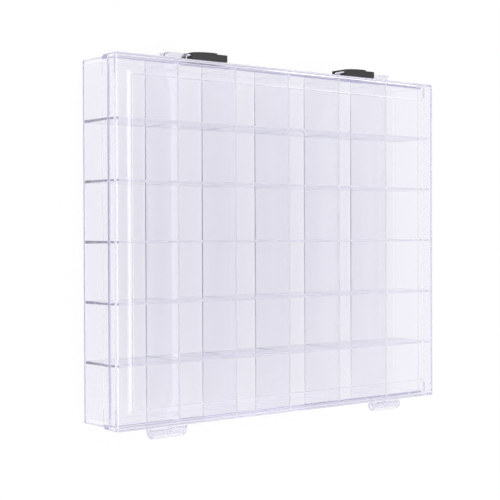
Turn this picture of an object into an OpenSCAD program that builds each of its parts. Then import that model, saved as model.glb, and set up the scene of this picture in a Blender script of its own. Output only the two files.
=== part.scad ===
// Clear divided box for embroidery thread, lying on its base with the lid up.
// Origin: centre of the flat base. +X to the right and +Y away, seen from the latch side.

/* [Box] */
// Width of the closed box, side to side
box_w = 272; // [250:1:310]
// Depth of the closed box, latch side to hinge side
box_d = 225; // [200:1:260]
// Height of the closed box, base to raised lid panel
box_h = 40.4; // [39:0.1:50]
// Height of the parting line between tray and lid
seam_z = 31.1; // [29:0.05:31.5]
// Radius of the upright corners
corner_r = 3; // [2:0.1:4]
// Gap left between pieces that move past each other
move_gap = 0.3; // [0.2:0.05:0.4]
// Gap at a face where one clear piece is seated on another
seat_gap = 0.05; // [0.02:0.01:0.1]

/* [Tray] */
// Thickness of the tray walls
wall_t = 2; // [1.5:0.1:2.5]
// Thickness of the tray floor
floor_t = 2; // [1.5:0.1:3]
// Radius of the edge all round the base
base_r = 2.7; // [2.4:0.1:4.5]
// Height of the rim band
rim_h = 5.6; // [4:0.1:7]
// How far the rim band stands out from the wall below it
rim_step = 0.9; // [0.6:0.05:1.6]

/* [Dividers] */
// Number of pockets side to side
columns = 6; // [3:1:8]
// Number of pockets latch side to hinge side
rows = 6; // [3:1:8]
// Thickness of a divider at the floor
divider_foot_t = 1.8; // [1.4:0.1:2.2]
// Thickness of a divider at its free edge
divider_edge_t = 1.2; // [0.8:0.1:1.4]
// Gap on each side of a divider in a half lap, and at its ends
lap_gap = 0.1; // [0.05:0.05:0.2]
// Gap between the dividers and the lid above them
lid_gap = 0.4; // [0.3:0.1:1]

/* [Lid] */
// Thickness of the lid's top plate
lid_plate_t = 1.6; // [1.2:0.1:2]
// Thickness of the lid's skirt
lid_skirt_t = 1.8; // [1.4:0.1:2.2]
// Radius of the edge all round the top
lid_edge_r = 1.6; // [1:0.1:2]
// Width of the flat margin beside the raised panel, at the sides
panel_inset_x = 9.5; // [8:0.5:14]
// Width of the flat margin beside the raised panel, front and rear
panel_inset_y = 10.5; // [8:0.5:14]
// Height of the raised panel above the margin
panel_rise = 0.8; // [0.5:0.1:1.2]
// Width of the sloping edge of the raised panel
panel_slope = 2; // [1:0.1:3]

/* [Latch rail] */
// Distance from the side of the box to the rail's outer end
rail_inset = 40; // [34:0.5:46]
// Length of the rail
rail_len = 44.5; // [44.5:0.1:48]
// How far the rail stands out from the front
rail_reach = 3.5; // [3.4:0.1:4]
// Thickness of the rail's webs
rail_web_t = 2; // [1.5:0.1:2.2]
// Thickness of the rail's head
rail_head_t = 1.1; // [0.9:0.1:1.3]
// Height of the rail's head above and below the parting line
rail_half_h = 4.95; // [4.5:0.05:5.2]
// Slope of the rail's inner end
rail_start_slope = 0.5; // [0.2:0.1:0.6]
// Slope of the rail's outer end
rail_end_slope = 1; // [0.5:0.1:1.6]
// Length of the stop at each end of the clip's travel
stop_len = 1.5; // [1:0.1:2]

/* [Latch clip] */
// How far the clip reaches past the rail's inner end, unlatched
clip_cover = 0.5; // [0.3:0.1:0.6]
// Length of the clip
clip_len = 27.2; // [25:0.1:27.2]
// How far the clip slides to latch
clip_travel = 17; // [14:0.1:17]
// Gap between the clip and the rail inside it
clip_play = 0.3; // [0.3:0.02:0.36]
// Gap between the clip and the front of the box
clip_wall_gap = 0.35; // [0.3:0.05:0.5]
// Greatest thickness of the clip's front plate
clip_front_t = 1.6; // [1.5:0.1:2]
// Thickness of the clip's arms above and below the rail
clip_arm_t = 1.6; // [1.2:0.1:2]
// Distance from each end of the clip to its hooks
hook_setback = 3; // [2.6:0.1:3.2]
// Radius of the crowned front of the clip
crown_r = 140; // [120:5:240]
// Distance from the thumb end to the highest part of the crown
crown_at = 11; // [9:0.5:15]
// Length of the lower thumb step at the clip's end
thumb_len = 7.3; // [5:0.1:9]
// Depth of the thumb step
thumb_drop = 0.7; // [0.3:0.1:0.8]
// Width of the groove beside the thumb step
groove_w = 0.6; // [0.4:0.1:1]
// Depth of the groove below the thumb step
groove_d = 0.2; // [0.1:0.1:0.3]

/* [Hinges] */
// Distance from the side of the box to the middle of each hinge
hinge_inset = 42; // [36:0.1:55]
// Width of a hinge where it leaves the box
hinge_root_w = 28; // [26:0.5:36]
// Width of a hinge at its outer edge
hinge_tip_w = 23.6; // [20:0.2:26]
// Distance of the hinge axis from the rear of the box
hinge_out = 4.7; // [4.2:0.1:6]
// Radius of the hinge knuckles
knuckle_r = 3.1; // [2.8:0.1:3.2]
// Height of the lugs where they meet the box
lug_root_h = 3.2; // [3:0.1:4]
// Radius of the hinge pins
pin_r = 1.3; // [1:0.05:1.5]
// Gap between pin and bore, on the radius
pin_gap = 0.06; // [0.02:0.02:0.1]
// Radius of the pin's head
pin_head_r = 2; // [1.8:0.1:2.4]
// Thickness of the pin's head
pin_head_t = 0.8; // [0.5:0.1:1.2]

/* [Hidden] */
$fn = 48;
// How far a cut runs past the surface it opens
over = 1;
// How far a joined shape is let into its neighbour
root = 0.5;
// Smallest radius left on an inside corner
least_r = 0.5;
half_w = box_w / 2;
half_d = box_d / 2;
tray_top = seam_z - move_gap / 2;
lid_bottom = seam_z + move_gap / 2;

// Inside of the tray
cavity_w = box_w - 2 * rim_step - 2 * wall_t;
cavity_d = box_d - 2 * rim_step - 2 * wall_t;
cavity_r = max(corner_r - rim_step, least_r);
cavity_foot_r = max(base_r - wall_t, least_r);

// Lid levels, from the margin's underside up
margin_top = box_h - panel_rise;
margin_under = margin_top - lid_plate_t;

// Dividers
divider_foot = floor_t + seat_gap;
divider_top = margin_under - lid_gap;
lap_z = (divider_foot + divider_top) / 2;
lap_t = (divider_foot_t + divider_edge_t) / 2;
column_pitch = (cavity_w + lap_t) / columns;
row_pitch = (cavity_d + lap_t) / rows;

// Rail and clip, as distances out from the front face
head_in = rail_reach - rail_head_t;
hook_out = head_in - clip_play;
hook_in = clip_wall_gap;
clip_in = rail_reach + clip_play;
clip_out = clip_in + clip_front_t;
rail_web_under = tray_top - rail_web_t;
catch_web_top = lid_bottom + rail_web_t;
rail_low = seam_z - rail_half_h;
rail_high = seam_z + rail_half_h;
arm_low = rail_low - clip_play;
arm_high = rail_high + clip_play;
clip_low = arm_low - clip_arm_t;
clip_high = arm_high + clip_arm_t;

// Rail and clip, as distances from the middle of the box
rail_end = half_w - rail_inset;
rail_start = rail_end - rail_len;
clip_start = rail_start - clip_cover;
clip_rest_end = clip_start + clip_len;
clip_latched_end = clip_rest_end + clip_travel;
catch_start = clip_rest_end + 3 * move_gap;
full_head_end = catch_start - 2 * move_gap;
inner_stop = clip_start + hook_setback - clip_play - stop_len;
outer_stop = clip_latched_end - hook_setback + clip_play;

// Hinge axis
axis_y = half_d + hinge_out;
axis_z = seam_z;
hinge_x = half_w - hinge_inset;
bore_r = pin_r + pin_gap;
pin_in = hinge_x - hinge_tip_w / 2;
pin_out = hinge_x + hinge_tip_w / 2;

column_names = [for (i = [1:columns - 1]) str("column_divider_", i)];
row_names = [for (i = [1:rows - 1]) str("row_divider_", i)];

// Flat rounded rectangle, centred
module rounded_rect(w, d, r) {
    square([w - 2 * r, d], center = true);
    square([w, d - 2 * r], center = true);
    for (x = [-1, 1], y = [-1, 1])
        translate([x * (w / 2 - r), y * (d / 2 - r)]) circle(r);
}

// Upright section with round lower corners, centred on x, from y = 0 up to h
module tub_section(w, h, r) {
    translate([-w / 2, r]) square([w, h - r]);
    translate([r - w / 2, 0]) square([w - 2 * r, h]);
    for (x = [-1, 1]) translate([x * (w / 2 - r), r]) circle(r);
}

// Block standing on z = 0 with round upright corners and a round lower edge
module tub(w, d, h, upright_r, edge_r) {
    intersection() {
        linear_extrude(h) rounded_rect(w, d, upright_r);
        translate([0, d / 2 + over, 0]) rotate([90, 0, 0])
            linear_extrude(d + 2 * over) tub_section(w, h, edge_r);
        translate([-w / 2 - over, 0, 0]) rotate([90, 0, 90])
            linear_extrude(w + 2 * over) tub_section(d, h, edge_r);
    }
}

// The same block upside down, its top at z = top
module cap(w, d, h, upright_r, edge_r, top) {
    translate([0, 0, top]) mirror([0, 0, 1]) tub(w, d, h, upright_r, edge_r);
}

// Inside of the tray, drawn in by gap at the walls, from height low up to high
module cavity(gap, low, high) {
    translate([0, 0, low])
        tub(cavity_w - 2 * gap, cavity_d - 2 * gap, high - low, cavity_r, cavity_foot_r);
}

// Runs a flat outline drawn in (y, z) along X from x0 to x1
module along_x(x0, x1) {
    translate([x0, 0, 0]) rotate([90, 0, 90]) linear_extrude(x1 - x0) children();
}

// Draws a shape at the right, and again mirrored at the left
module both_sides() {
    children();
    mirror([1, 0, 0]) children();
}

// Block on the front between two distances out and two heights, from x0 to x1
module front_bar(x0, x1, out0, out1, z0, z1) {
    translate([x0, -half_d - out1, z0]) cube([x1 - x0, out1 - out0, z1 - z0]);
}

// Sloped ends of the right rail, seen from above, used to trim what lies within it
module rail_outline() {
    linear_extrude(box_h)
        polygon([
            [rail_start, -half_d],
            [rail_start + rail_start_slope, -half_d - rail_reach],
            [rail_end - rail_end_slope, -half_d - rail_reach],
            [rail_end, -half_d]
        ]);
}

// Right rail: a full head beside the lid's catch, half a head under it, and a stop at each end
module latch_rail() {
    color([0.90, 0.90, 0.95, 0.5])
        intersection() {
            rail_outline();
            union() {
                front_bar(rail_start, rail_end, seat_gap, rail_reach, rail_web_under, tray_top);
                front_bar(rail_start, rail_end, head_in, rail_reach, rail_low, tray_top);
                front_bar(rail_start, full_head_end, head_in, rail_reach, rail_low, rail_high);
                for (x = [inner_stop, outer_stop])
                    front_bar(x, x + stop_len, seat_gap, rail_reach, rail_low, tray_top);
            }
        }
}

module left_latch_rail() {
    mirror([1, 0, 0]) latch_rail();
}

module right_latch_rail() {
    latch_rail();
}

// Right catch on the lid, the upper half of the rail's outer end
module lid_catch() {
    color([0.92, 0.92, 0.97, 0.5])
        intersection() {
            rail_outline();
            union() {
                front_bar(catch_start, rail_end, seat_gap, rail_reach, lid_bottom, catch_web_top);
                front_bar(catch_start, rail_end, head_in, rail_reach, lid_bottom, rail_high);
            }
        }
}

module left_lid_catch() {
    mirror([1, 0, 0]) lid_catch();
}

module right_lid_catch() {
    lid_catch();
}

// Outline of a hinge seen from above, narrowing outwards
module hinge_outline() {
    reach = hinge_out + knuckle_r;
    linear_extrude(box_h)
        polygon([
            [hinge_x - hinge_root_w / 2, half_d - over],
            [hinge_x - hinge_root_w / 2, half_d],
            [pin_in, half_d + reach],
            [pin_out, half_d + reach],
            [hinge_x + hinge_root_w / 2, half_d],
            [hinge_x + hinge_root_w / 2, half_d - over]
        ]);
}

// Half of the right hinge between x0 and x1. side is -1 for the tray's lug and 1 for the lid's
module hinge_half(x0, x1, side) {
    near = move_gap / 2;
    difference() {
        intersection() {
            hinge_outline();
            along_x(x0, x1)
                translate([axis_y, axis_z]) {
                    circle(knuckle_r);
                    polygon([
                        [-hinge_out - root, side * near],
                        [0, side * near],
                        [0, side * knuckle_r],
                        [-hinge_out, side * lug_root_h],
                        [-hinge_out - root, side * lug_root_h]
                    ]);
                }
        }
        translate([x0 - over, axis_y, axis_z]) rotate([0, 90, 0])
            cylinder(r = bore_r, h = x1 - x0 + 2 * over);
        translate([pin_out - seat_gap, axis_y, axis_z]) rotate([0, 90, 0])
            cylinder(r = pin_head_r + 2 * pin_gap, h = hinge_root_w);
    }
}

module tray() {
    body_w = box_w - 2 * rim_step;
    body_d = box_d - 2 * rim_step;
    color([0.90, 0.90, 0.95, 0.45]) {
        difference() {
            union() {
                tub(body_w, body_d, tray_top, corner_r, base_r);
                translate([0, 0, tray_top - rim_h])
                    linear_extrude(rim_h) rounded_rect(box_w, box_d, corner_r);
            }
            cavity(0, floor_t, box_h);
        }
        both_sides()
            hinge_half(hinge_x + move_gap / 2, hinge_x + hinge_root_w / 2, -1);
    }
}

// Divider strip along Y through x = 0, thinner at its free edge
module divider_strip(length) {
    translate([0, length / 2, 0]) rotate([90, 0, 0])
        linear_extrude(length)
            polygon([
                [-divider_foot_t / 2, divider_foot],
                [divider_foot_t / 2, divider_foot],
                [divider_edge_t / 2, divider_top],
                [-divider_edge_t / 2, divider_top]
            ]);
}

module column_divider(i) {
    slot_w = lap_t + 2 * lap_gap;
    color([0.88, 0.88, 0.95, 0.45])
        difference() {
            intersection() {
                translate([(i - columns / 2) * column_pitch, 0, 0]) divider_strip(box_d);
                cavity(lap_gap, divider_foot, divider_top);
            }
            for (j = [1:rows - 1])
                translate([-half_w, (j - rows / 2) * row_pitch - slot_w / 2, lap_z - lap_gap / 2])
                    cube([box_w, slot_w, box_h]);
        }
}

module row_divider(j) {
    slot_w = divider_foot_t + 2 * lap_gap;
    color([0.90, 0.88, 0.96, 0.45])
        difference() {
            intersection() {
                translate([0, (j - rows / 2) * row_pitch, 0]) rotate([0, 0, 90])
                    divider_strip(box_w);
                cavity(lap_gap, divider_foot, divider_top);
            }
            for (i = [1:columns - 1])
                translate([(i - columns / 2) * column_pitch - slot_w / 2, -half_d, 0])
                    cube([slot_w, box_d, lap_z + lap_gap / 2]);
        }
}

// Section of the raised panel across a side of length across, from its foot up
module panel_section(across, inset) {
    foot = across / 2 - inset;
    polygon([
        [-foot, 0],
        [foot, 0],
        [foot - panel_slope, panel_rise],
        [panel_slope - foot, panel_rise]
    ]);
}

// Raised panel with sloping edges, its foot at height z
module raised_panel(z) {
    intersection() {
        translate([0, half_d, z]) rotate([90, 0, 0])
            linear_extrude(box_d) panel_section(box_w, panel_inset_x);
        translate([-half_w, 0, z]) rotate([90, 0, 90])
            linear_extrude(box_w) panel_section(box_d, panel_inset_y);
    }
}

module lid() {
    inside_r = max(corner_r - lid_skirt_t, least_r);
    color([0.92, 0.92, 0.97, 0.4]) {
        difference() {
            union() {
                cap(box_w, box_d, margin_top - lid_bottom, corner_r, lid_edge_r, margin_top);
                raised_panel(margin_top);
            }
            cap(box_w - 2 * lid_skirt_t, box_d - 2 * lid_skirt_t, margin_under - lid_bottom + over,
                inside_r, least_r, margin_under);
            raised_panel(margin_under);
        }
        both_sides()
            hinge_half(hinge_x - hinge_root_w / 2, hinge_x - move_gap / 2, 1);
    }
}

// Section of the clip in (y, z): front plate, two arms and two hooks
module clip_section() {
    y_out = -half_d - clip_out;
    y_in = -half_d - clip_in;
    y_hook_out = -half_d - hook_out;
    y_hook_in = -half_d - hook_in;
    polygon([
        [y_out, clip_low],
        [y_hook_in, clip_low],
        [y_hook_in, rail_web_under - 2 * clip_play],
        [y_hook_out, rail_web_under - 2 * clip_play],
        [y_hook_out, arm_low],
        [y_in, arm_low],
        [y_in, arm_high],
        [y_hook_out, arm_high],
        [y_hook_out, catch_web_top + 2 * clip_play],
        [y_hook_in, catch_web_top + 2 * clip_play],
        [y_hook_in, clip_high],
        [y_out, clip_high]
    ]);
}

// Latch clip from x = 0: crowned front, thumb step, and hooks set back from both ends
module latch_clip() {
    color([0.24, 0.25, 0.25])
        difference() {
            intersection() {
                along_x(0, clip_len) clip_section();
                translate([crown_at, crown_r - half_d - clip_out, clip_low - over])
                    cylinder(r = crown_r, h = clip_high - clip_low + 2 * over, $fn = 360);
            }
            front_bar(-over, thumb_len, clip_out - thumb_drop, clip_out + over,
                clip_low - over, clip_high + over);
            front_bar(thumb_len, thumb_len + groove_w, clip_out - thumb_drop - groove_d,
                clip_out + over, clip_low - over, clip_high + over);
            for (x = [-over, clip_len - hook_setback])
                front_bar(x, x + hook_setback + over, hook_in - over, hook_out + clip_play / 2,
                    arm_low, arm_high);
        }
}

module left_latch() {
    translate([-clip_rest_end, 0, 0]) latch_clip();
}

module right_latch() {
    translate([clip_start, 0, 0]) latch_clip();
}

// Right hinge pin, with its head let into the outer face of the tray's lug
module hinge_pin() {
    color([0.85, 0.85, 0.90, 0.6])
        translate([pin_in, axis_y, axis_z]) rotate([0, 90, 0]) {
            cylinder(r = pin_r, h = pin_out - pin_in + pin_head_t);
            translate([0, 0, pin_out - pin_in]) cylinder(r = pin_head_r, h = pin_head_t);
        }
}

module left_hinge_pin() {
    mirror([1, 0, 0]) hinge_pin();
}

module right_hinge_pin() {
    hinge_pin();
}

tray();
for (i = [1:columns - 1])
    column_divider(i);
for (j = [1:rows - 1])
    row_divider(j);
left_latch_rail();
right_latch_rail();
left_hinge_pin();
right_hinge_pin();
lid();
left_lid_catch();
right_lid_catch();
left_latch();
right_latch();
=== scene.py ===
"""Clear divided embroidery thread box, dressed for its photograph.

Lengths are in metres, in the part's own frame: origin at the middle of the tray's base, +Y towards
the hinges and +Z up through the lid.
"""
import math

import bmesh
import bpy
from mathutils import Matrix, Vector


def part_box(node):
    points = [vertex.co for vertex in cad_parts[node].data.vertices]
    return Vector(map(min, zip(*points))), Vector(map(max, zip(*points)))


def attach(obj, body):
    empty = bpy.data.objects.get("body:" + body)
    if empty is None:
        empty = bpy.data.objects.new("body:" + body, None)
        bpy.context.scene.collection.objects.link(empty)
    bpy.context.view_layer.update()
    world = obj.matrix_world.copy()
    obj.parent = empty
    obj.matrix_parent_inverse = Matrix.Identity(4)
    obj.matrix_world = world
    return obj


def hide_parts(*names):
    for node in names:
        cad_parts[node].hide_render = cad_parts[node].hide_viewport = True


MM = 0.001

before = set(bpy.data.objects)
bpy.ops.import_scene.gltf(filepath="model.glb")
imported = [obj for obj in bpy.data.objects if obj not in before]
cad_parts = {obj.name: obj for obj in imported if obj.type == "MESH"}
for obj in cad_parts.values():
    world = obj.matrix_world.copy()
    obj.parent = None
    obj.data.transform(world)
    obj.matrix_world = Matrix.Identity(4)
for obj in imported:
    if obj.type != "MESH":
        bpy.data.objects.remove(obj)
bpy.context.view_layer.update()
scene = bpy.context.scene

# Camera, solved from the photograph's perspective on the box
PHOTO_SIDE = 500
FOCAL_PX = 1241
SENSOR_MM = 36
CAMERA_AT = Vector((0.5320, -0.0036, 0.6569))
CAMERA_YAW = math.radians(38.86)
CAMERA_TILT = math.radians(0.66)
CAMERA_ROLL = math.radians(-0.19)
CAMERA_NEAR = 0.01
CAMERA_FAR = 50

# Clear plastic: surface tints, and the density of the violet tint inside each moulding
PLASTIC_IOR = 1.58
SHELL_TINT = (0.958, 0.953, 0.987, 1)
STRIP_TINT = (0.95, 0.95, 0.968, 1)
SHADOW_TINT = (0.95, 0.945, 0.97, 1)
DEPTH_TINT = (0.42, 0.40, 0.75, 1)
TRAY_DENSITY = 2.2
LID_DENSITY = 1.5
STRIP_DENSITY = 6

# Waves left by the flow of the plastic; a small number in a flow stretches them along that axis
WAVE_SCALE = 14
WAVE_DETAIL = 2
WAVE_STRENGTH = 0.15
WAVE_H = 0.4 * MM
TRAY_FLOW = (1, 0.35, 1)
LID_FLOW = (0.35, 1, 1)
STRIP_FLOW = (0.6, 0.6, 1)
RAIL_FLOW = (1, 0.6, 0.6)

# Fine scuffs, which run the roughness from one share of the haze to another
SCUFF_SCALE = 900
SCUFF_DETAIL = 3
SCUFF_CONTRAST = 0.7
SCUFF_RANGE = (0.45, 0.8)
SCUFF_HAZE = (0.3, 2)
CLEAR_HAZE = 0.02
RAIL_HAZE = 0.03

# Slightly matt free edges of the dividers, from this far below the top
MATT_EDGE = 0.5 * MM
MATT_SHARE = 0.55

# Two fine ridges along the sloping border of the raised panel, inset from the lid's sides and front
PANEL_INSET = (9.5 * MM, 10.5 * MM)
PANEL_SLOPE = 2 * MM
PANEL_LINE_W = 0.5 * MM
PANEL_LINE_H = 0.08 * MM
PANEL_LINE_STRENGTH = 1

# Dark plastic of the clips: grain, cloudy tone and gloss, and a painted highlight that lightens the
# sharp edges
GRAIN_SCALE = 3200
GRAIN_DETAIL = 2
GRAIN_CONTRAST = 0.6
GRAIN_STRENGTH = 0.4
GRAIN_H = 0.05 * MM
CLOUD_SCALE = 160
CLOUD_DETAIL = 3
CLOUD_RANGE = (0.3, 0.7)
CLIP_ROUGHNESS = (0.36, 0.5)
PAINTED_EDGE_RANGE = (0.51, 0.58)
CHARCOAL_TONES = (
    (0.25, (0.013, 0.0135, 0.0145, 1)),
    (0.75, (0.024, 0.0245, 0.0255, 1)),
)

# Surroundings, with a dim patch in the direction that the middle of the lid mirrors
WORLD_LEVEL = 1.0
ROOM_LEVEL = 0.35
ROOM_TINT = (0.62, 0.60, 0.85, 1)
ROOM_TOWARDS = Vector((-0.58, 0.0, 0.815))
ROOM_SPREAD = (0.984, 1.0)
LIGHT_PATH_STEPS = 256

# Soft boxes: direction, side in metres and power in watts
SOFTBOX_AWAY = 1.0
SOFTBOXES = (
    (Vector((0, -0.1, 1)), 0.8, 3.0),
    (Vector((-0.645, -0.75, 0.15)), 0.2, 0.5),
)

# Floor
FLOOR_REACH = 6
FLOOR_DROP = 0.4 * MM
FLOOR_GREY = 0.86
FLOOR_LIT_SHARE = 0.12
FLOOR_GLOW = 0.89

# Rounded edges of the clips, rails and catches, and the clean-up of their meshes before it
CLEAR_EDGE = 0.2 * MM
CLIP_EDGE = 0.25 * MM
EDGE_SEGMENTS = 2
EDGE_TURN = math.radians(40)
WELD_GAP = 0.001 * MM
FLAT_TURN = math.radians(0.5)

# Divider strips
DIVIDER_EDGE_T = 1.2 * MM
DIVIDER_EDGE_R = 0.3 * MM
LAP_GAP = 0.1 * MM
FOOT_FLARE = 0.05 * MM
END_NOTCH = 0.4 * MM
CUT_BEYOND = 5 * MM
ARC_STEPS = 5
SOFT_TURN = math.radians(30)


def new_material(name):
    """A material with an empty node tree, and that tree."""
    material = bpy.data.materials.new(name)
    material.use_nodes = True
    tree = material.node_tree
    tree.nodes.clear()
    return material, tree


def math_node(tree, operation, first, second):
    """Adds a math node; each input is a socket or a number. Returns its output."""
    node = tree.nodes.new("ShaderNodeMath")
    node.operation = operation
    for socket, value in zip(node.inputs, (first, second)):
        if isinstance(value, (int, float)):
            socket.default_value = value
        else:
            tree.links.new(value, socket)
    return node.outputs[0]


def mix_shaders(tree, factor, first, second):
    """Adds a mix of two shader nodes by a factor socket. Returns its output."""
    mix = tree.nodes.new("ShaderNodeMixShader")
    tree.links.new(factor, mix.inputs["Fac"])
    tree.links.new(first.outputs[0], mix.inputs[1])
    tree.links.new(second.outputs[0], mix.inputs[2])
    return mix.outputs[0]


def seen_by(tree, *kinds):
    """A factor of 1 for rays of the named kinds, 0 for the rest."""
    path = tree.nodes.new("ShaderNodeLightPath")
    factor = path.outputs[kinds[0]]
    for kind in kinds[1:]:
        factor = math_node(tree, "MAXIMUM", factor, path.outputs[kind])
    return factor


def object_coords(tree, scale=(1, 1, 1)):
    """Object coordinates in metres, stretched by scale."""
    coords = tree.nodes.new("ShaderNodeTexCoord")
    mapping = tree.nodes.new("ShaderNodeMapping")
    mapping.inputs["Scale"].default_value = scale
    tree.links.new(coords.outputs["Object"], mapping.inputs["Vector"])
    return mapping.outputs["Vector"]


def object_parts(tree):
    """The X, Y and Z outputs of the object coordinates, in metres."""
    parts = tree.nodes.new("ShaderNodeSeparateXYZ")
    tree.links.new(object_coords(tree), parts.inputs[0])
    return parts.outputs


def noise(tree, vector, scale, detail, roughness=0.5):
    """A noise texture's value at a vector."""
    node = tree.nodes.new("ShaderNodeTexNoise")
    node.inputs["Scale"].default_value = scale
    node.inputs["Detail"].default_value = detail
    node.inputs["Roughness"].default_value = roughness
    tree.links.new(vector, node.inputs["Vector"])
    return node.outputs["Fac"]


def remap(tree, value, range_in, range_out):
    """Maps a value from one range to another, held at its ends."""
    node = tree.nodes.new("ShaderNodeMapRange")
    names = ("From Min", "From Max", "To Min", "To Max")
    for name, number in zip(names, (*range_in, *range_out)):
        node.inputs[name].default_value = number
    tree.links.new(value, node.inputs["Value"])
    return node.outputs[0]


def bump(tree, height, strength, distance):
    """Adds a bump from a height. Returns its node."""
    node = tree.nodes.new("ShaderNodeBump")
    node.inputs["Strength"].default_value = strength
    node.inputs["Distance"].default_value = distance
    tree.links.new(height, node.inputs["Height"])
    return node


def panel_lines(tree):
    """1 on the two fine ridges that frame the lid's raised panel, 0 elsewhere."""
    low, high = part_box("lid")
    place = object_parts(tree)
    halves = (high[0] - PANEL_INSET[0], -low[1] - PANEL_INSET[1])
    reach = []
    for k, half in enumerate(halves):
        from_middle = math_node(tree, "ABSOLUTE", place[k], 0)
        reach.append(math_node(tree, "SUBTRACT", from_middle, half))
    outside = math_node(tree, "MAXIMUM", reach[0], reach[1])
    lines = []
    for shift in (0, PANEL_SLOPE):
        shifted = math_node(tree, "ADD", outside, shift)
        away = math_node(tree, "ABSOLUTE", shifted, 0)
        lines.append(remap(tree, away, (0, PANEL_LINE_W), (1, 0)))
    return math_node(tree, "MAXIMUM", lines[0], lines[1])


def clear_share(tree):
    """How clear a divider is: 1, and less on its free edge."""
    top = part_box("column_divider_1")[1][2]
    height = object_parts(tree)["Z"]
    return remap(tree, height, (top - MATT_EDGE, top - MATT_EDGE / 2), (1, 1 - MATT_SHARE))


def clear_plastic(name, tint, density, flow, haze, matt_edges=False, ridges=False):
    """Clear polystyrene: faint flow waves, fine scuffs, and a violet tint that grows with depth."""
    material, tree = new_material(name)
    out = tree.nodes.new("ShaderNodeOutputMaterial")
    body = tree.nodes.new("ShaderNodeBsdfPrincipled")
    body.inputs["Base Color"].default_value = tint
    body.inputs["Transmission Weight"].default_value = 1
    body.inputs["IOR"].default_value = PLASTIC_IOR
    if matt_edges:
        tree.links.new(clear_share(tree), body.inputs["Transmission Weight"])

    waves = noise(tree, object_coords(tree, flow), WAVE_SCALE, WAVE_DETAIL)
    scuffs = noise(tree, object_coords(tree), SCUFF_SCALE, SCUFF_DETAIL, SCUFF_CONTRAST)
    roughness = remap(tree, scuffs, SCUFF_RANGE, [haze * share for share in SCUFF_HAZE])
    tree.links.new(roughness, body.inputs["Roughness"])
    surface = bump(tree, waves, WAVE_STRENGTH, WAVE_H)
    if ridges:
        ridged = bump(tree, panel_lines(tree), PANEL_LINE_STRENGTH, PANEL_LINE_H)
        tree.links.new(surface.outputs["Normal"], ridged.inputs["Normal"])
        surface = ridged
    tree.links.new(surface.outputs["Normal"], body.inputs["Normal"])

    through = tree.nodes.new("ShaderNodeBsdfTransparent")
    through.inputs["Color"].default_value = SHADOW_TINT
    both = mix_shaders(tree, seen_by(tree, "Is Shadow Ray"), body, through)
    tree.links.new(both, out.inputs["Surface"])
    depth = tree.nodes.new("ShaderNodeVolumeAbsorption")
    depth.inputs["Color"].default_value = DEPTH_TINT
    depth.inputs["Density"].default_value = density
    tree.links.new(depth.outputs[0], out.inputs["Volume"])
    return material


def charcoal_plastic(name):
    """Dark satin plastic with a spark-eroded grain, and a painted highlight that lightens its sharp
    edges.
    """
    material, tree = new_material(name)
    out = tree.nodes.new("ShaderNodeOutputMaterial")
    body = tree.nodes.new("ShaderNodeBsdfPrincipled")
    vector = object_coords(tree)
    grain = noise(tree, vector, GRAIN_SCALE, GRAIN_DETAIL, GRAIN_CONTRAST)
    cloud = noise(tree, vector, CLOUD_SCALE, CLOUD_DETAIL)
    geometry = tree.nodes.new("ShaderNodeNewGeometry")
    # painted highlight: sharp convex edges, found by pointiness, are coloured lighter
    edge = remap(tree, geometry.outputs["Pointiness"], PAINTED_EDGE_RANGE, (0, 1))
    painted_edge_highlight = math_node(tree, "MULTIPLY", edge, cloud)
    ramp = tree.nodes.new("ShaderNodeValToRGB")
    for element, (position, tone) in zip(ramp.color_ramp.elements, CHARCOAL_TONES):
        element.position = position
        element.color = tone
    tree.links.new(math_node(tree, "ADD", cloud, painted_edge_highlight), ramp.inputs["Fac"])
    tree.links.new(ramp.outputs["Color"], body.inputs["Base Color"])
    roughness = remap(tree, cloud, CLOUD_RANGE, CLIP_ROUGHNESS)
    tree.links.new(roughness, body.inputs["Roughness"])
    grained = bump(tree, grain, GRAIN_STRENGTH, GRAIN_H)
    tree.links.new(grained.outputs["Normal"], body.inputs["Normal"])
    tree.links.new(body.outputs[0], out.inputs["Surface"])
    return material


def place_camera():
    """The photograph's camera: latch side up in the picture, lid towards the viewer."""
    data = bpy.data.cameras.new("photo_camera")
    data.sensor_width = SENSOR_MM
    data.lens = FOCAL_PX / PHOTO_SIDE * SENSOR_MM
    data.clip_start = CAMERA_NEAR
    data.clip_end = CAMERA_FAR
    level = Vector((-math.sin(CAMERA_YAW), 0, -math.cos(CAMERA_YAW)))
    up = Vector((0, -1, 0))
    forward = level * math.cos(CAMERA_TILT) - up * math.sin(CAMERA_TILT)
    up = up * math.cos(CAMERA_TILT) + level * math.sin(CAMERA_TILT)
    right = forward.cross(up)
    turned_right = right * math.cos(CAMERA_ROLL) + up * math.sin(CAMERA_ROLL)
    turned_up = up * math.cos(CAMERA_ROLL) - right * math.sin(CAMERA_ROLL)
    camera = bpy.data.objects.new("photo_camera", data)
    turn = Matrix((turned_right, turned_up, -forward)).transposed()
    camera.matrix_world = Matrix.Translation(CAMERA_AT) @ turn.to_4x4()
    scene.collection.objects.link(camera)
    scene.camera = camera


def white_floor():
    """White where it is seen, with a faint shadow, and plain grey for the light that it passes on."""
    material, tree = new_material("floor_white")
    out = tree.nodes.new("ShaderNodeOutputMaterial")
    plain = tree.nodes.new("ShaderNodeBsdfDiffuse")
    plain.inputs["Color"].default_value = (FLOOR_GREY, FLOOR_GREY, FLOOR_GREY, 1)
    lit = tree.nodes.new("ShaderNodeBsdfDiffuse")
    lit.inputs["Color"].default_value = (FLOOR_LIT_SHARE, FLOOR_LIT_SHARE, FLOOR_LIT_SHARE, 1)
    glow = tree.nodes.new("ShaderNodeEmission")
    glow.inputs["Strength"].default_value = FLOOR_GLOW
    both = tree.nodes.new("ShaderNodeAddShader")
    tree.links.new(lit.outputs[0], both.inputs[0])
    tree.links.new(glow.outputs[0], both.inputs[1])
    seen = seen_by(tree, "Is Camera Ray", "Is Glossy Ray", "Is Transmission Ray")
    tree.links.new(mix_shaders(tree, seen, plain, both), out.inputs["Surface"])
    return material


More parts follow.
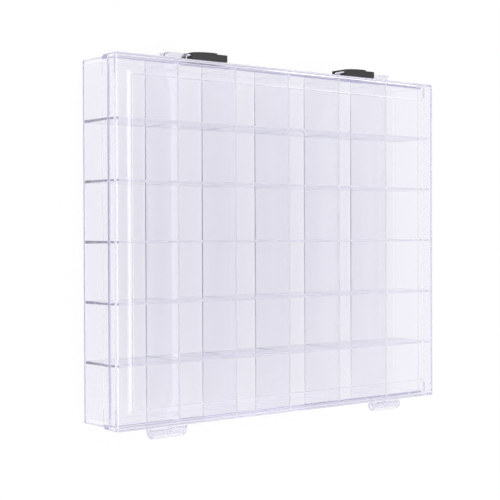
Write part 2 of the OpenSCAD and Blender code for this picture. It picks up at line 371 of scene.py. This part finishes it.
def lay_floor():
    """Wide studio floor, a hair under the box."""
    mesh = bpy.data.meshes.new("floor")
    turns = ((-1, -1), (1, -1), (1, 1), (-1, 1))
    corners = [(x * FLOOR_REACH, y * FLOOR_REACH, -FLOOR_DROP) for x, y in turns]
    mesh.from_pydata(corners, [], [(0, 1, 2, 3)])
    floor = bpy.data.objects.new("floor", mesh)
    scene.collection.objects.link(floor)
    mesh.materials.append(white_floor())


def light_studio():
    """Even white surroundings, with a small dim patch that only glossy and clear things show."""
    world = bpy.data.worlds.new("studio")
    scene.world = world
    world.use_nodes = True
    tree = world.node_tree
    tree.nodes.clear()
    out = tree.nodes.new("ShaderNodeOutputWorld")
    even = tree.nodes.new("ShaderNodeBackground")
    even.inputs["Strength"].default_value = WORLD_LEVEL
    room = tree.nodes.new("ShaderNodeBackground")
    room.inputs["Strength"].default_value = ROOM_LEVEL
    room.inputs["Color"].default_value = ROOM_TINT
    coords = tree.nodes.new("ShaderNodeTexCoord")
    towards = tree.nodes.new("ShaderNodeVectorMath")
    towards.operation = "DOT_PRODUCT"
    towards.inputs[1].default_value = ROOM_TOWARDS
    tree.links.new(coords.outputs["Generated"], towards.inputs[0])
    spread = remap(tree, towards.outputs["Value"], ROOM_SPREAD, (0, 1))
    seen = seen_by(tree, "Is Glossy Ray", "Is Transmission Ray")
    share = math_node(tree, "MULTIPLY", spread, seen)
    tree.links.new(mix_shaders(tree, share, even, room), out.inputs["Surface"])


def hang_softboxes():
    """A wide soft box overhead, and a small one low beyond the left corner of the latch side."""
    for k, (towards, side, watts) in enumerate(SOFTBOXES):
        data = bpy.data.lights.new("softbox_" + str(k + 1), "AREA")
        data.energy = watts
        data.size = side
        light = bpy.data.objects.new(data.name, data)
        light.location = towards.normalized() * SOFTBOX_AWAY
        light.rotation_euler = towards.to_track_quat("Z", "Y").to_euler()
        scene.collection.objects.link(light)


def dress_nodes(tray, lid, strip, rail, clip):
    """Gives every CAD node its material; the hinge pins share the rails' one."""
    for name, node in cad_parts.items():
        if name in ("left_latch", "right_latch"):
            material = clip
        elif name == "tray":
            material = tray
        elif name == "lid":
            material = lid
        elif "divider" in name:
            material = strip
        else:
            material = rail
        node.data.materials.clear()
        node.data.materials.append(material)


def add_piece(name, mesh, material, body, node_name):
    """Puts a mesh in the scene as the piece that stands for a CAD node."""
    piece = bpy.data.objects.new(name, mesh)
    scene.collection.objects.link(piece)
    mesh.materials.clear()
    mesh.materials.append(material)
    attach(piece, body)
    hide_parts(node_name)
    return piece


def moulded(node_name, body, material, radius):
    """A copy of a CAD node with its sharp edges rounded by radius, standing for that node."""
    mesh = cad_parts[node_name].data.copy()
    form = bmesh.new()
    form.from_mesh(mesh)
    bmesh.ops.remove_doubles(form, verts=form.verts, dist=WELD_GAP)
    bmesh.ops.dissolve_limit(form, angle_limit=FLAT_TURN, verts=form.verts, edges=form.edges)
    form.to_mesh(mesh)
    form.free()
    piece = add_piece(node_name + "_moulded", mesh, material, body, node_name)
    rounding = piece.modifiers.new("rounding", "BEVEL")
    rounding.width = radius
    rounding.segments = EDGE_SEGMENTS
    rounding.limit_method = "ANGLE"
    rounding.angle_limit = EDGE_TURN


def quarter_arc(radius):
    """Points of a quarter circle from (radius, 0) to (0, radius) that bulges towards (0, 0)."""
    points = []
    for k in range(ARC_STEPS + 1):
        turn = math.pi / 2 * k / ARC_STEPS
        points.append((radius * (1 - math.sin(turn)), radius * (1 - math.cos(turn))))
    return points


def strip_outline(foot_t, low, high):
    """Half outline of a divider from its foot up: a flared foot, a taper and a rounded free edge."""
    foot = [(foot_t / 2 + out, low + up) for out, up in quarter_arc(FOOT_FLARE)]
    edge = [(DIVIDER_EDGE_T / 2 - back, high - down) for down, back in quarter_arc(DIVIDER_EDGE_R)]
    return foot + edge


def along_strip(along, reach, offset, z):
    """A point at reach along a strip, offset from it sideways, at height z.

    along is 0 for a strip that runs along X and 1 for one that runs along Y.
    """
    return (reach, offset, z) if along == 0 else (offset, reach, z)


def strip_mesh(name, along, ends, outline):
    """A closed strip with the same outline from one end to the other."""
    form = bmesh.new()
    rings = []
    for reach in ends:
        rings.append([form.verts.new(along_strip(along, reach, x, z)) for x, z in outline])
    count = len(outline)
    for k in range(count):
        n = (k + 1) % count
        form.faces.new((rings[0][k], rings[0][n], rings[1][n], rings[1][k]))
    form.faces.new(rings[0])
    form.faces.new(rings[1])
    bmesh.ops.recalc_face_normals(form, faces=form.faces)
    mesh = bpy.data.meshes.new(name)
    form.to_mesh(mesh)
    form.free()
    return mesh


def block(form, along, reach, offset, height):
    """Adds a box to a bmesh, from its (low, high) ranges along a strip, across it and upwards."""
    low, high = (along_strip(along, *ends) for ends in zip(reach, offset, height))
    made = bmesh.ops.create_cube(form, size=1)
    for vertex in made["verts"]:
        for k in range(3):
            vertex.co[k] = low[k] if vertex.co[k] < 0 else high[k]


def slot_cutter(name, along, box, crossings, slot_t, slot_z):
    """An object of all that is cut from a strip.

    It is a half-lap slot at each crossing, room for the crossing strip's flared foot beside it, and a
    notch under each end, which clears the round foot of the tray's walls.
    """
    low, high = box
    across = 1 - along
    half_foot = (high[across] - low[across]) / 2
    middle = (high[across] + low[across]) / 2
    through = (middle - CUT_BEYOND, middle + CUT_BEYOND)
    under = low[2] - CUT_BEYOND
    clear = half_foot + FOOT_FLARE + LAP_GAP
    cut = bmesh.new()
    for c in crossings:
        block(cut, along, (c - slot_t / 2, c + slot_t / 2), through, slot_z)
        for side in (-1, 1):
            flank = sorted((middle + side * half_foot, middle + side * CUT_BEYOND))
            block(cut, along, (c - clear, c + clear), flank, (under, low[2] + FOOT_FLARE + LAP_GAP))
    for end in (low[along], high[along]):
        block(cut, along, (end - END_NOTCH, end + END_NOTCH), through, (under, low[2] + END_NOTCH))
    mesh = bpy.data.meshes.new(name)
    cut.to_mesh(mesh)
    cut.free()
    cutter = bpy.data.objects.new(name, mesh)
    scene.collection.objects.link(cutter)
    return cutter


def divider(node_name, along, crossings, slot_t, slot_z, material):
    """A clear divider strip with a flared foot, slotted where the crossing strips pass."""
    low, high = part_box(node_name)
    across = 1 - along
    middle = (high[across] + low[across]) / 2
    half = strip_outline(high[across] - low[across], low[2], high[2])
    outline = [(middle + x, z) for x, z in half] + [(middle - x, z) for x, z in reversed(half)]
    mesh = strip_mesh(node_name + "_strip", along, (low[along], high[along]), outline)
    cutter = slot_cutter(node_name + "_cut", along, (low, high), crossings, slot_t, slot_z)

    piece = add_piece(node_name + "_strip", mesh, material, "tray", node_name)
    slots = piece.modifiers.new("slots", "BOOLEAN")
    slots.operation = "DIFFERENCE"
    slots.solver = "EXACT"
    slots.use_self = True
    slots.object = cutter
    bpy.context.view_layer.update()
    depsgraph = bpy.context.evaluated_depsgraph_get()
    slotted = bpy.data.meshes.new_from_object(piece.evaluated_get(depsgraph))
    slotted.shade_smooth()
    slotted.set_sharp_from_angle(angle=SOFT_TURN)
    piece.modifiers.clear()
    piece.data = slotted
    bpy.data.objects.remove(cutter)


def middles(names, across):
    """Middle positions of named strips, in order."""
    return [(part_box(n)[0][across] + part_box(n)[1][across]) / 2 for n in names]


def fit_dividers(material):
    """All divider strips: columns slotted from above, rows from below."""
    columns = sorted(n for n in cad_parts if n.startswith("column_divider_"))
    rows = sorted(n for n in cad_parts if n.startswith("row_divider_"))
    low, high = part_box(columns[0])
    foot_t = high[0] - low[0]
    lap_t = (foot_t + DIVIDER_EDGE_T) / 2
    lap_z = (low[2] + high[2]) / 2
    upper_half = (lap_z - LAP_GAP / 2, high[2] + 2 * FOOT_FLARE)
    lower_half = (low[2] - 2 * FOOT_FLARE, lap_z + LAP_GAP / 2)
    for name in columns:
        divider(name, 1, middles(rows, 1), lap_t + 2 * LAP_GAP, upper_half, material)
    for name in rows:
        divider(name, 0, middles(columns, 0), foot_t + 2 * LAP_GAP, lower_half, material)


place_camera()
lay_floor()
light_studio()
hang_softboxes()

clear_tray = clear_plastic("clear_tray", SHELL_TINT, TRAY_DENSITY, TRAY_FLOW, CLEAR_HAZE)
clear_lid = clear_plastic("clear_lid", SHELL_TINT, LID_DENSITY, LID_FLOW, CLEAR_HAZE, ridges=True)
clear_strip = clear_plastic("clear_strip", STRIP_TINT, STRIP_DENSITY, STRIP_FLOW, CLEAR_HAZE,
                            matt_edges=True)
clear_rail = clear_plastic("clear_rail", SHELL_TINT, LID_DENSITY, RAIL_FLOW, RAIL_HAZE)
charcoal = charcoal_plastic("charcoal_plastic")

dress_nodes(clear_tray, clear_lid, clear_strip, clear_rail, charcoal)
fit_dividers(clear_strip)
for side in ("left", "right"):
    moulded(side + "_latch", side + "_latch", charcoal, CLIP_EDGE)
    moulded(side + "_latch_rail", "tray", clear_rail, CLEAR_EDGE)
    moulded(side + "_lid_catch", "lid", clear_rail, CLEAR_EDGE)

scene.cycles.max_bounces = LIGHT_PATH_STEPS
scene.cycles.transmission_bounces = LIGHT_PATH_STEPS
scene.cycles.transparent_max_bounces = LIGHT_PATH_STEPS
scene.cycles.glossy_bounces = LIGHT_PATH_STEPS
scene.view_settings.view_transform = "Standard"
